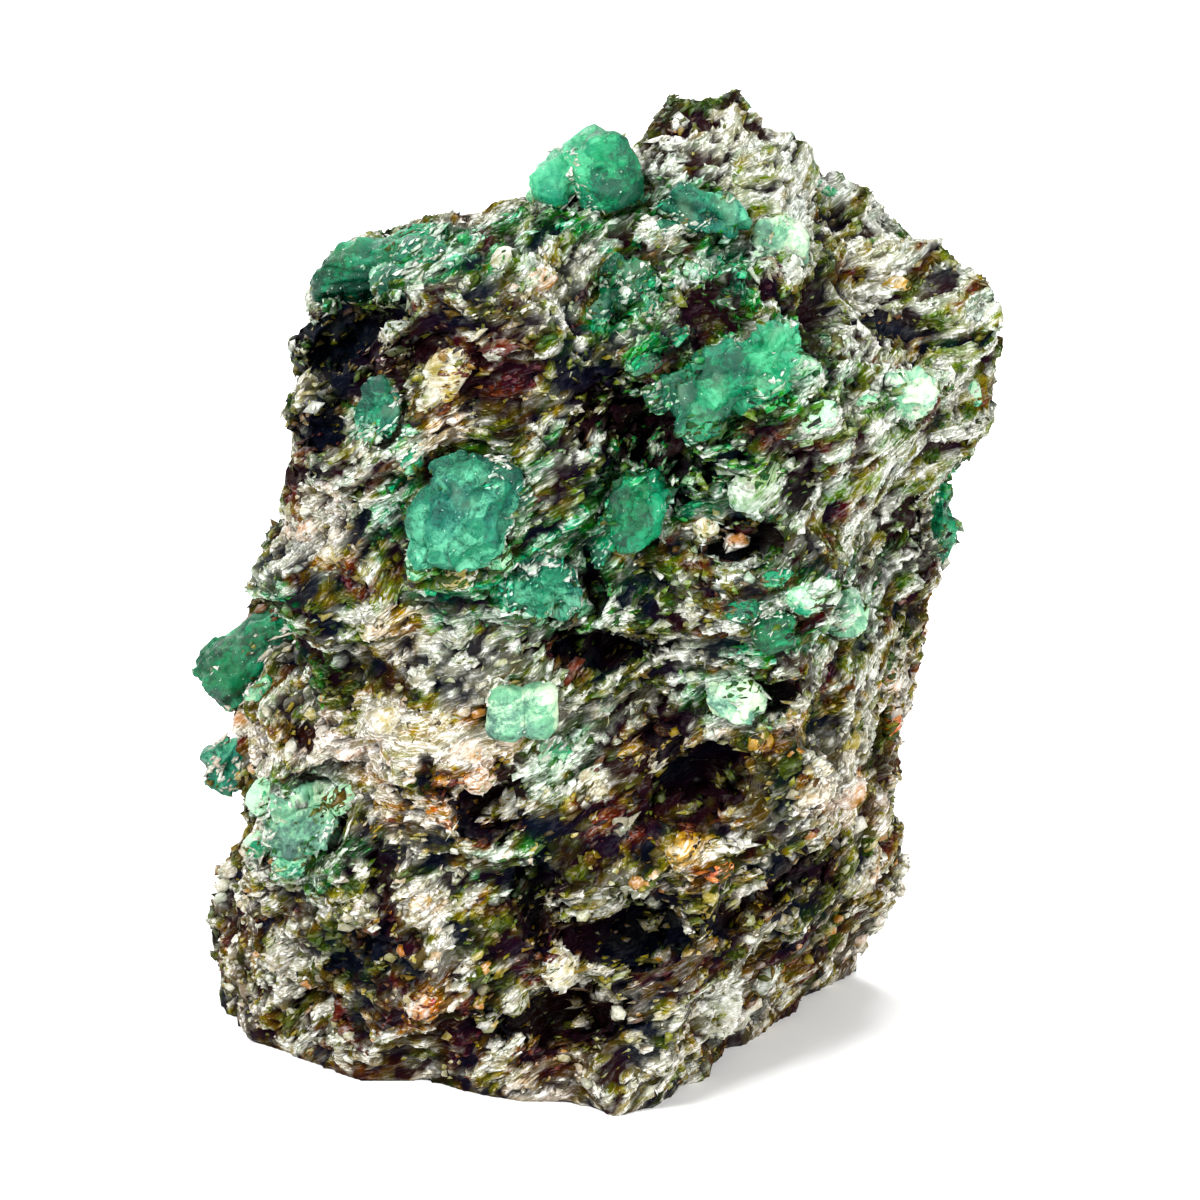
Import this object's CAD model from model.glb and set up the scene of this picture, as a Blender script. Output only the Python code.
"""Looks of the emerald in matrix: a hand specimen of mica schist with beryl crystals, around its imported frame."""

import math

import bmesh
import bpy
import numpy as np
from mathutils import Matrix, Vector, noise
from mathutils.bvhtree import BVHTree


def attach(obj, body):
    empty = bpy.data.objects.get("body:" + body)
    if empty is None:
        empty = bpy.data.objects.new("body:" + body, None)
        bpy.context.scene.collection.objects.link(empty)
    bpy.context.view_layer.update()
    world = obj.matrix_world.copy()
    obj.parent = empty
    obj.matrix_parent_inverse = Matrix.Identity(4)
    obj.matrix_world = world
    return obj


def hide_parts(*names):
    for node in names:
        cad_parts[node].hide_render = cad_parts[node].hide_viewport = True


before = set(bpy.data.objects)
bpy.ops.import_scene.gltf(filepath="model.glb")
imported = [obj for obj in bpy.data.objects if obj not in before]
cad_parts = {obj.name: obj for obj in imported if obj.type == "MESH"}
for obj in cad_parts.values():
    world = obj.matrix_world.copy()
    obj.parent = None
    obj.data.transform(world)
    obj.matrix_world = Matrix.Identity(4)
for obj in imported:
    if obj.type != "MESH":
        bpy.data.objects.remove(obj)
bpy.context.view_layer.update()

bl_info = {
    "name": "Emerald in Matrix",
    "version": (1, 0, 0),
    "blender": (4, 5, 0),
    "location": "View3D > Sidebar > Specimen",
    "description": "Dresses a schist hand specimen with mica flakes, feldspar grains and beryl crystals",
    "category": "Object",
}

MM = 0.001
BODY = "root"
ROCK = "schist_matrix"
MIDDLE = np.array((0.0, 0.0, 33.5)) * MM  # the rock's middle, which places on the boards are measured from
VIEW_LEAN = math.radians(16)  # how far the boards lean back, and how far the camera looks down
GRAIN = np.array((-0.42, -0.30, 0.86)) / np.linalg.norm((-0.42, -0.30, 0.86))  # across the schist's sheets
STREAK = np.cross((0.30, -0.95, 0.10), GRAIN) / np.linalg.norm(np.cross((0.30, -0.95, 0.10), GRAIN))
BREADTH = np.cross(GRAIN, STREAK)
FOLD_DEPTH = 2.6  # mm that the sheets' large folds rise and fall
CRINKLE = 0.8  # mm that their small folds do


# ------------------------------------------------------------------ tones of the minerals

def linear(red, green, blue):
    """A colour as the eye reads it on a screen, turned into the light values that shaders take."""
    return tuple(((c + 0.055) / 1.055) ** 2.4 if c > 0.04045 else c / 12.92 for c in (red, green, blue))


TONES = {
    "bone": linear(0.82, 0.82, 0.73),
    "cream": linear(0.79, 0.75, 0.60),
    "blush": linear(0.83, 0.70, 0.61),
    "tan": linear(0.68, 0.58, 0.43),
    "amber": linear(0.68, 0.46, 0.20),
    "rust": linear(0.54, 0.20, 0.05),
    "olive": linear(0.47, 0.46, 0.26),
    "moss": linear(0.31, 0.34, 0.22),
    "bark": linear(0.44, 0.35, 0.26),
    "plum": linear(0.38, 0.30, 0.34),
    "smoke": linear(0.54, 0.52, 0.51),
    "sage": linear(0.61, 0.67, 0.57),
    "steel": linear(0.66, 0.69, 0.65),
    "slate": linear(0.42, 0.46, 0.42),
    "umber": linear(0.24, 0.16, 0.10),
    "ink": linear(0.06, 0.03, 0.06),
    "mint": linear(0.62, 0.80, 0.67),
    "jade": linear(0.28, 0.60, 0.46),
    "pine": linear(0.03, 0.31, 0.26),
    "emerald": linear(0.0, 0.50, 0.31),
}

# Mixes of tones that one part of the rock's skin is made of: shares by count.
MIXES = {
    "silver": {"steel": 5, "bone": 4, "sage": 4, "smoke": 3, "slate": 2, "plum": 2, "cream": 3},
    "granular": {"sage": 5, "steel": 9, "bone": 4, "mint": 2, "smoke": 2, "cream": 2},
    "green_schist": {"sage": 5, "steel": 4, "bone": 2, "mint": 2, "jade": 2, "slate": 2, "moss": 1, "cream": 2, "smoke": 1},
    "streaky": {"bone": 4, "cream": 5, "sage": 2, "smoke": 2, "olive": 2, "plum": 2, "tan": 2},
    "brown_schist": {"cream": 9, "bone": 7, "sage": 4, "smoke": 2, "blush": 4, "tan": 3, "olive": 2, "plum": 1},
    "feldspar": {"cream": 5, "blush": 6, "bone": 4, "tan": 2, "plum": 1},
    "emerald_skin": {"emerald": 7, "pine": 2, "jade": 5, "mint": 2},
    "pine_skin": {"pine": 6, "jade": 2, "emerald": 2, "ink": 2},
    "teal_skin": {"jade": 6, "pine": 3, "mint": 2, "emerald": 2, "steel": 1},
    "mint_skin": {"mint": 6, "bone": 3, "jade": 2, "sage": 2},
    "dark": {"ink": 4, "umber": 3, "plum": 2, "bark": 2, "slate": 1},
    "rusty": {"rust": 5, "amber": 4, "umber": 3},
    "ochre": {"amber": 3, "tan": 5, "cream": 3, "bark": 1},
}

# Patches of the skin, each laid over those before it: side of the rock, across and up on that side's board (mm),
# reach each way, turn (degrees), mix and strength.
PATCHES = (
    (0, 17.0, 26.0, 14.0, 9.0, -38, "granular", 0.9),
    (0, 25.0, 12.0, 8.0, 10.0, 0, "granular", 0.7),
    (0, 12.0, 13.0, 12.0, 9.0, 20, "green_schist", 0.7),
    (0, -2.0, 5.0, 13.0, 8.0, 10, "green_schist", 0.6),
    (0, -14.0, 17.0, 10.0, 7.0, 20, "streaky", 0.7),
    (0, -24.0, 5.0, 5.0, 9.0, 10, "silver", 0.5),
    (0, 22.0, -5.0, 3.6, 10.0, 0, "silver", 0.5),
    (0, -24.0, -24.0, 5.0, 5.0, 0, "silver", 0.6), (0, 13.0, -29.0, 8.0, 3.0, 20, "silver", 0.6),
    (0, -4.0, -29.0, 7.0, 3.0, 0, "streaky", 0.5), (0, 20.0, -14.0, 5.0, 6.0, 0, "streaky", 0.6),
    (0, 6.0, -13.0, 8.0, 6.0, 10, "dark", 0.35), (0, 0.0, -26.0, 9.0, 4.0, 0, "dark", 0.15),
    (0, -9.0, -17.0, 4.0, 3.0, 20, "dark", 0.3), (0, 4.0, 13.0, 7.0, 5.0, -35, "dark", 0.75),
    (0, -18.0, 16.0, 7.0, 6.0, 0, "dark", 0.35), (0, 15.0, -22.0, 4.0, 3.0, 30, "dark", 0.3),
    (0, 1.0, 2.0, 3.0, 9.0, 0, "dark", 0.4), (0, -22.0, -30.0, 4.0, 2.0, -20, "dark", 0.2),
    (90, 0.0, -14.0, 7.0, 10.0, 10, "dark", 0.3), (180, 0.0, -12.0, 12.0, 8.0, 0, "dark", 0.35),
    (180, 6.0, 6.0, 7.0, 5.0, -20, "dark", 0.35), (270, 0.0, -10.0, 8.0, 8.0, 20, "dark", 0.35),
    (0, -11.2, 14.6, 3.8, 2.4, 40, "ochre", 0.75),
    (0, -21.5, 5.4, 3.6, 2.8, 30, "feldspar", 0.8),
    (0, -15.6, -11.0, 8.4, 4.6, -16, "feldspar", 0.92),
    (0, -10.0, -11.8, 3.4, 3.0, 40, "feldspar", 0.9),
    (0, 18.8, -14.6, 3.6, 2.6, 10, "feldspar", 0.9),
    (0, 8.0, 4.8, 2.4, 1.3, 0, "feldspar", 0.9),
    (0, 6.9, -19.4, 2.9, 2.4, 10, "ochre", 0.9),
    (0, 8.4, -20.6, 1.9, 1.5, 10, "rusty", 0.95),
    (0, -11.4, -14.6, 1.7, 1.6, 0, "rusty", 0.95),
    (0, -13.6, -31.4, 1.9, 1.4, 30, "rusty", 0.9),
    (0, -15.6, -3.2, 3.4, 1.5, 20, "ochre", 0.8),
    (0, 13.0, -9.6, 3.8, 1.6, 20, "rusty", 0.5),
    (0, -23.5, -16.6, 5.2, 3.8, 30, "mint_skin", 0.97),
    (0, -21.4, -20.6, 5.2, 1.8, 24, "teal_skin", 0.9),
    (0, -3.0, -12.2, 4.4, 2.4, 20, "mint_skin", 0.8),
    (0, -8.0, -20.6, 4.0, 2.6, 10, "mint_skin", 0.6),
    (0, 9.7, -7.4, 3.4, 2.6, 0, "mint_skin", 0.9),
    (0, 14.0, 0.8, 8.6, 2.8, 4, "mint_skin", 0.75),
    (0, 11.4, 8.4, 5.0, 3.8, 30, "mint_skin", 0.8),
    (0, 23.2, 15.2, 3.6, 3.2, 0, "mint_skin", 0.7),
    (0, -3.0, 1.0, 5.6, 3.4, -24, "teal_skin", 0.97),
    (0, 2.8, 6.6, 5.2, 4.4, -10, "teal_skin", 0.97),
    (0, -9.6, 4.6, 7.4, 6.6, -10, "teal_skin", 0.95),
    (0, 9.4, 16.2, 9.4, 5.4, 24, "emerald_skin", 0.92),
    (0, 13.6, 21.2, 4.6, 2.2, 20, "teal_skin", 0.6),
    (0, 6.4, 29.6, 5.4, 2.0, -12, "teal_skin", 0.95),
    (0, 9.2, 25.4, 5.0, 3.0, -40, "teal_skin", 0.8),
    (0, 1.8, 22.8, 3.6, 3.2, 40, "pine_skin", 0.95),
    (0, 4.0, 17.6, 3.4, 2.6, -30, "pine_skin", 0.9),
    (0, -7.4, 27.2, 7.4, 1.8, 10, "teal_skin", 0.95),
    (0, -15.6, 25.0, 7.4, 3.2, 10, "emerald_skin", 0.97),
    (0, -16.4, 14.0, 2.8, 2.8, 0, "teal_skin", 0.9),
    (0, 13.0, -2.6, 3.2, 1.9, 0, "emerald_skin", 0.95),
    (0, 18.0, -0.8, 3.2, 2.2, 20, "mint_skin", 0.8),
    (0, -26.0, -4.4, 5.0, 5.0, 30, "emerald_skin", 0.9),
    (0, -28.2, -12.8, 3.0, 3.6, 0, "teal_skin", 0.9),
    (0, 2.6, 36.4, 5.0, 2.6, -20, "streaky", 0.6),
    (90, 0.0, 14.0, 14.0, 12.0, 0, "silver", 0.6),
    (90, 6.0, -12.0, 9.0, 8.0, 30, "feldspar", 0.5),
    (90, 9.0, -3.0, 5.0, 4.0, 0, "emerald_skin", 0.85),
    (180, 5.0, 13.0, 7.6, 6.0, 20, "emerald_skin", 0.8),
    (180, -4.0, 20.0, 11.0, 6.0, 0, "green_schist", 0.7),
    (180, -12.0, -8.0, 5.2, 4.6, 0, "teal_skin", 0.85),
    (180, 9.0, -15.0, 5.4, 4.0, 20, "mint_skin", 0.85),
    (180, -2.0, -22.0, 7.0, 4.4, 0, "feldspar", 0.7),
    (180, 4.0, 0.0, 2.6, 2.0, 0, "rusty", 0.9),
    (180, -16.0, 8.0, 6.0, 5.0, 20, "feldspar", 0.6),
    (200, -15.0, 15.0, 4.6, 4.0, 0, "teal_skin", 0.9),
    (270, -9.0, 6.0, 5.0, 4.6, 0, "teal_skin", 0.85),
    (270, 4.0, -16.0, 8.0, 6.0, 0, "feldspar", 0.6),
)

# Hollows where mica has weathered out: side, across, up, reach along and across (mm), roll (degrees), depth (mm).
HOLLOWS = (
    (0, -19.8, 20.4, 5.2, 3.6, -8, 2.6), (0, -13.6, 18.6, 2.4, 1.4, 10, 1.4), (0, -21.4, 13.4, 3.0, 2.0, 30, 1.6),
    (0, 4.2, 12.2, 5.8, 4.0, -40, 3.0), (0, 0.2, 16.8, 2.4, 1.6, 20, 1.4), (0, 10.4, 4.4, 3.6, 1.4, 0, 2.0),
    (0, -0.2, -3.6, 4.6, 1.3, -3, 2.2), (0, -0.6, 1.4, 1.0, 3.0, 0, 1.6), (0, 6.8, -13.2, 4.0, 2.2, 12, 2.4),
    (0, 5.0, -10.4, 2.0, 3.0, 10, 1.8), (0, -8.6, -15.8, 3.4, 2.4, 8, 2.2), (0, -6.4, -13.8, 2.2, 1.2, -50, 1.4),
    (0, 1.8, -25.4, 6.4, 2.4, 4, 2.8), (0, -3.2, -31.6, 5.2, 2.0, 10, 2.2), (0, -4.4, -22.8, 1.7, 3.2, 8, 2.2),
    (0, -16.6, -20.8, 1.2, 2.8, 6, 1.8), (0, -22.4, -31.4, 3.2, 1.8, -26, 1.8), (0, -17.8, -26.6, 3.2, 1.2, 34, 1.6),
    (0, 15.2, -20.6, 4.2, 1.6, 26, 2.0), (0, 15.8, -28.0, 2.2, 3.0, -10, 2.0), (0, 19.6, -23.6, 2.0, 1.4, 30, 1.4),
    (0, 9.4, -24.0, 2.8, 2.0, 30, 1.8), (0, 11.2, 4.6, 2.0, 1.2, 0, 1.6), (0, 12.8, -6.6, 2.4, 1.4, 20, 1.4),
    (0, -4.2, 36.0, 2.0, 1.0, 10, 0.8), (0, -3.6, 30.4, 2.6, 1.0, 0, 1.2), (0, 22.8, 21.0, 2.4, 1.6, -30, 1.4),
    (0, 24.6, 5.6, 1.8, 2.2, 0, 1.4), (0, -23.4, 9.4, 2.4, 1.2, 20, 1.4), (0, -9.6, 16.2, 1.2, 2.2, -20, 1.2),
    (0, -22.6, -10.0, 1.4, 1.0, 30, 1.0), (0, 14.8, 8.8, 1.2, 2.4, -16, 1.4), (0, 7.6, 22.4, 2.2, 1.2, 30, 1.0),
    (90, 4.0, 8.0, 4.0, 2.0, 30, 2.2), (90, -4.0, -4.0, 4.0, 1.8, 60, 2.0), (90, 2.0, -20.0, 4.2, 2.0, 30, 2.0),
    (90, -8.0, 20.0, 3.0, 1.6, 40, 1.6), (135, 0.0, 0.0, 4.4, 2.0, -10, 2.2), (135, 3.0, 18.0, 3.6, 2.0, -20, 1.8),
    (180, 2.0, 6.0, 5.0, 2.0, -22, 2.6), (180, -8.0, -10.0, 4.6, 2.2, -8, 2.4), (180, 12.0, -12.0, 4.0, 1.8, -40, 2.0),
    (180, -12.0, 14.0, 4.0, 1.8, -26, 2.0), (180, 6.0, -25.0, 4.6, 1.8, -10, 2.0), (230, 0.0, 12.0, 4.0, 2.0, -20, 2.2),
    (230, -4.0, -14.0, 4.0, 2.0, -20, 2.0), (270, 2.0, -8.0, 4.0, 2.0, -44, 2.2), (270, -4.0, 12.0, 3.6, 1.8, -26, 2.0),
    (270, 6.0, -24.0, 3.6, 1.6, -30, 1.8), (310, 0.0, 14.0, 3.0, 1.6, 30, 1.6),
)


# ------------------------------------------------------------------ places on the rock

def board(side):
    """The right, up and outward directions of the leaning board that faces one side of the rock."""
    turn = math.radians(side)
    right = np.array((math.cos(turn), math.sin(turn), 0.0))
    back = np.array((-math.sin(turn), math.cos(turn), 0.0))
    up = math.sin(VIEW_LEAN) * back + math.cos(VIEW_LEAN) * np.array((0.0, 0.0, 1.0))
    return right, up, np.cross(right, up)


def on_board(points, side, across, up, roll=0.0):
    """Where points lie on a side's board, in mm from a place there and along a roll, and how far they face it."""
    right, high, outward = board(side)
    seen = (points - MIDDLE) / MM
    dx, dy = seen @ right - across, seen @ high - up
    turn = math.radians(roll)
    return (
        dx * math.cos(turn) + dy * math.sin(turn),
        dy * math.cos(turn) - dx * math.sin(turn),
        seen @ outward,
    )


def sample(function, points, scale):
    """A noise function read at every point, at a scale in metres for each direction or for all."""
    return np.array([function(p) for p in (points / scale).tolist()])


def cloud(points, size, shift=0.0):
    """Soft noise from -1 to 1 whose lumps are about this size in mm."""
    return sample(noise.noise, points + shift * MM, size * MM)


def drift(points, size, shift=0.0):
    """A soft vector noise whose swirls are about this size in mm."""
    return np.array([tuple(noise.noise_vector(p)) for p in ((points + shift * MM) / (size * MM)).tolist()])


def unit(vectors):
    return vectors / np.maximum(np.linalg.norm(vectors, axis=1, keepdims=True), 1e-12)


def sheet_level(points):
    """Which sheet of the schist each point lies in, as a height across the sheets in metres."""
    return points @ GRAIN + FOLD_DEPTH * MM * cloud(points, 13.0, 40.0) + CRINKLE * MM * cloud(points, 4.5, 90.0)


def grain_field(points):
    """The way across the sheets at each point, which turns as the folded sheets do."""
    step = 0.25 * MM
    here = sheet_level(points)
    slope = [(sheet_level(points + step * axis) - here) / step for axis in np.eye(3)]
    return unit(np.stack(slope, axis=1))


def hollow_share(points):
    """How deep each point lies in a named hollow, in mm with ragged edges, and the way in that it is moved."""
    places = sheet_places(points)
    ragged = 0.55 * sample(noise.noise, places + 11.0, np.array((0.9, 2.4, 2.0))) + 0.50 * cloud(points, 4.0, 23.0)
    ragged += 0.50 * sample(noise.noise, places + 27.0, np.array((0.45, 1.1, 0.9)))
    bridges = sample(noise.noise, places + 71.0, np.array((0.8, 2.6, 2.0))) + 0.4 * cloud(points, 0.8, 6.0)
    bridged = np.clip(1.0 - 4.0 * (bridges - 0.22), 0.0, 1.0)
    depth, inward = np.zeros(len(points)), np.zeros((len(points), 3))
    for side, across, up, along, wide, roll, deep in HOLLOWS:
        dx, dy, facing = on_board(points, side, across, up, roll)
        reach = np.sqrt((dx / along) ** 2 + (dy / wide) ** 2) + ragged
        here = deep * np.clip((1.0 - reach) / 0.35, 0, 1) * bridged * (facing > 4.0)
        deeper = here > depth
        inward[deeper] = -here[deeper, None] * board(side)[2]
        depth = np.maximum(depth, here)
    return depth, inward


def sheet_places(points):
    """Places in mm across the bent sheets, along the streak and broad."""
    return np.stack([sheet_level(points), points @ STREAK, points @ BREADTH], axis=1) / MM


def blocks(places, size, lean=1.1, edge=0.18):
    """Broken blocks of this size along the sheets: each place's height, from about -1 to 1, and its block's number."""
    heights, numbers = [], []
    for grid in (places / size).tolist():
        distances, centres = noise.voronoi(grid)
        place = Vector(grid)
        faces = [
            noise.cell(c * 5.3) * 2 - 1 + lean * (noise.cell_vector(c * 3.7) * 2 - Vector((1, 1, 1))).dot(place - c)
            for c in centres[:2]
        ]
        share = min(1.0, (distances[1] - distances[0]) / edge)
        heights.append(faces[0] + (1 - share) * (faces[1] - faces[0]) / 2)
        numbers.append(noise.cell(centres[0] * 9.1))
    return np.array(heights), np.array(numbers)


# ------------------------------------------------------------------ colours by place

TONE_NAMES = list(TONES)
TONE_TABLE = np.array([TONES[name] for name in TONE_NAMES])
INK = TONE_NAMES.index("ink")
SOUND = [TONE_NAMES.index(name) for name in ("steel", "blush")]  # tones of the unbroken, granular parts
MIX_TABLE = {
    name: np.array([mix.get(tone, 0.0) for tone in TONE_NAMES]) / sum(mix.values()) for name, mix in MIXES.items()
}


def tone_shares(points):
    """The share of each tone in the skin at each point: greenish above, brown below, and the patches over that."""
    height = (points[:, 2] - MIDDLE[2]) / MM + 4.0 * cloud(points, 11.0, 5.0)
    upper = np.clip((height + 5.0) / 8.0, 0, 1)[:, None]
    silver = np.clip(0.5 + 1.4 * cloud(points, 12.0, 60.0), 0, 1)[:, None]
    top = silver * MIX_TABLE["silver"] + (1 - silver) * MIX_TABLE["green_schist"]
    shares = upper * top + (1 - upper) * MIX_TABLE["brown_schist"]
    ragged = points + (1.5 * drift(points, 5.0, 70.0) + 1.2 * drift(points, 1.8, 20.0)) * MM
    for side, across, up, wide, tall, turn, mix, strength in PATCHES:
        dx, dy, facing = on_board(ragged, side, across, up, turn)
        near = np.clip(2.2 * np.exp(-((dx / wide) ** 2) - (dy / tall) ** 2) - 0.4, 0, 1)
        share = (strength * near * np.clip(facing / 8.0, 0, 1))[:, None]
        shares = (1 - share) * shares + share * MIX_TABLE[mix]
    return shares


def pick_tones(shares, luck):
    """One tone for each row of shares, drawn by a number from 0 to 1."""
    running = np.cumsum(shares, axis=1)
    chosen = (running < (luck * running[:, -1])[:, None]).sum(axis=1)
    return TONE_TABLE[np.minimum(chosen, len(TONE_NAMES) - 1)]


def shaded(tones, light, points):
    """Tones in less or more light: the dark ones turn greener in some places and more purple in others."""
    hue = 0.5 + 1.1 * cloud(points, 4.5, 52.0) + 0.8 * cloud(points, 1.4, 12.0)
    turns = ((1.04, 0.98, 1.00), (1.00, 0.98, 1.10), (0.96, 1.03, 1.10), (0.96, 1.08, 0.98))
    power = np.stack([np.interp(hue, (0.0, 0.35, 0.65, 1.0), channel) for channel in zip(*turns)], axis=1)
    return tones * light[:, None] ** power


def graded(tones):
    """Tones as the eye finds them on the stone: dark ones deeper in colour, bright ones nearer to white."""
    light = tones @ np.array((0.21, 0.72, 0.07))
    depth = np.interp(light, (0.0, 0.05, 0.15, 0.35, 0.6), (3.4, 3.2, 1.95, 0.75, 0.42))
    softer = 1.3 / (1 + 1.1 * light)  # holds the palest ones back from white
    return np.clip((light[:, None] + (tones - light[:, None]) * depth[:, None]) * softer[:, None], 0.002, 1)


def local_tones(points, own, random):
    """The tone of the sheets at each point, shared by its neighbours, with a share of the point's own luck."""
    places = sheet_places(points)
    shares = tone_shares(points)
    mean = shares @ TONE_TABLE / shares.sum(axis=1, keepdims=True)
    _, coarse = blocks(places, (1.3, 4.2, 3.2))
    _, fine = blocks(places, (0.45, 1.8, 1.4))
    _, large = blocks(places, (2.6, 7.5, 5.5), edge=0.05)
    tones = (0.20 * mean + 0.24 * pick_tones(shares, large) + 0.26 * pick_tones(shares, coarse)
             + 0.30 * pick_tones(shares, fine))
    chance = pick_tones(shares, random.random(len(points)))
    thin = sample(noise.noise, places, np.array((0.4, 2.2, 1.6)))
    broad = sample(noise.noise, places, np.array((1.2, 6.0, 4.5)))
    calm = np.clip(1.3 - 3.0 * shares[:, SOUND].sum(axis=1), 0.3, 1)
    share = np.clip(0.86 + 0.04 * calm + (1.4 * thin + 1.5 * broad + 0.7 * (large - 0.5)) * calm, 0.15, 1.0)
    light = 1.55 * share * share * (3 - 2 * share)
    return shaded((1 - own) * tones + own * chance, light, points)


# ------------------------------------------------------------------ shader sums

class Wire:
    """An output of a shader node that takes part in Python sums, each of which adds its Math node."""

    def __init__(self, tree, socket=None):
        self.tree, self.socket = tree, socket

    def add(self, kind, settings=None, sockets=None, out=0):
        """Adds any node: first its settings, then its sockets' values or links. Gives one of its outputs."""
        node = self.tree.nodes.new(kind)
        for name, value in (settings or {}).items():
            if name == "stops":
                self.set_stops(node.color_ramp, value)
            else:
                setattr(node, name, value)
        for name, value in (sockets or {}).items():
            if isinstance(value, Wire):
                self.tree.links.new(value.socket, node.inputs[name])
            else:
                node.inputs[name].default_value = value
        return Wire(self.tree, node.outputs[out])

    @staticmethod
    def set_stops(ramp, stops):
        while len(ramp.elements) < len(stops):
            ramp.elements.new(1.0)
        for element, (place, colour) in zip(ramp.elements, stops):
            element.position = place
            element.color = (*colour, 1.0)

    def sum(self, operation, first, second):
        return self.add("ShaderNodeMath", {"operation": operation}, {0: first, 1: second})

    def __add__(self, other):
        return self.sum("ADD", self, other)

    def __radd__(self, other):
        return self.sum("ADD", other, self)

    def __sub__(self, other):
        return self.sum("SUBTRACT", self, other)

    def __rsub__(self, other):
        return self.sum("SUBTRACT", other, self)

    def __mul__(self, other):
        return self.sum("MULTIPLY", self, other)

    def __rmul__(self, other):
        return self.sum("MULTIPLY", other, self)

    def size(self):
        """The value without its sign."""
        return self.add("ShaderNodeMath", {"operation": "ABSOLUTE"}, {0: self})

    def held(self):
        """The value kept between 0 and 1."""
        return self.add("ShaderNodeClamp", None, {"Value": self})

    def stretched(self, low, high, to_low=0.0, to_high=1.0):
        """The value, with low to high stretched to the two new ends and held there."""
        sockets = {"Value": self, "From Min": low, "From Max": high, "To Min": to_low, "To Max": to_high}
        return self.add("ShaderNodeMapRange", {"clamp": True}, sockets)

    def noise(self, where, scale, detail=3.0, roughness=0.6, distortion=0.0):
        sockets = {
            "Vector": where, "Scale": scale, "Detail": detail, "Roughness": roughness, "Distortion": distortion
        }
        return self.add("ShaderNodeTexNoise", None, sockets)

    def placed(self, where, turn=(0, 0, 0), scale=(1, 1, 1), shift=(0, 0, 0)):
        sockets = {"Vector": where, "Rotation": turn, "Scale": scale, "Location": shift}
        return self.add("ShaderNodeMapping", {"vector_type": "POINT"}, sockets)

    def tinted(self, colour, other, blend="MIX"):
        """Two colours mixed by this value."""
        settings = {"data_type": "RGBA", "blend_type": blend, "clamp_factor": True}
        return self.add("ShaderNodeMix", settings, {0: self, 6: colour, 7: other}, out=2)


def new_material(name):
    """A material with its Principled shader, and a wire to start its nodes from."""
    made = bpy.data.materials.new(name)
    made.use_nodes = True
    return made, made.node_tree.nodes["Principled BSDF"], Wire(made.node_tree)


def connect(shader, socket, wire):
    wire.tree.links.new(wire.socket, shader.inputs[socket])


def skin_material(name, streak_contrast, speck_contrast, rough, bump, shine):
    """Schist: the piece's own tone, broken up by streaks that run with the sheets and by fine specks."""
    made, shader, start = new_material(name)
    place = start.add("ShaderNodeTexCoord", out=3)
    tone = start.add("ShaderNodeAttribute", {"attribute_name": "tone"})
    sheet = start.add("ShaderNodeAttribute", {"attribute_name": "sheet"}, out=1)
    gloss = start.add("ShaderNodeAttribute", {"attribute_name": "gloss"}, out=2)
    broad = start.noise(start.placed(sheet, scale=(2.2, 0.5, 0.8)), 1.0, 3.0, 0.6, 0.5)
    streaks = start.noise(start.placed(sheet, scale=(6.5, 0.9, 1.4)), 1.0, 4.0, 0.65, 0.4)
    specks = start.noise(place, 1500.0, 3.0, 0.7)
    seams = (streaks - 0.5).size().stretched(0.0, 0.045, 1 - 1.6 * streak_contrast, 1.0)
    shade = (streaks.stretched(0.42, 0.56, 1 - 1.2 * streak_contrast, 1 + 0.5 * streak_contrast)
             * broad.stretched(0.38, 0.56, 1 - streak_contrast, 1 + 0.3 * streak_contrast)
             * specks.stretched(0.34, 0.66, 1 - speck_contrast, 1 + speck_contrast) * seams)
    fuller = shade.stretched(0.1, 1.2, 2.9, 0.55)
    colour = start.add("ShaderNodeHueSaturation", None, {"Saturation": fuller, "Value": shade, "Color": tone})
    connect(shader, "Base Color", colour)
    connect(shader, "Roughness", (rough + 0.3 * (specks - 0.5) - 0.45 * gloss).held())
    height = streaks * 0.5 + specks * 0.5
    normal = start.add("ShaderNodeBump", None, {"Strength": bump, "Distance": 0.25 * MM, "Height": height})
    connect(shader, "Normal", normal)
    shader.inputs["Specular IOR Level"].default_value = shine
    return made


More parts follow.
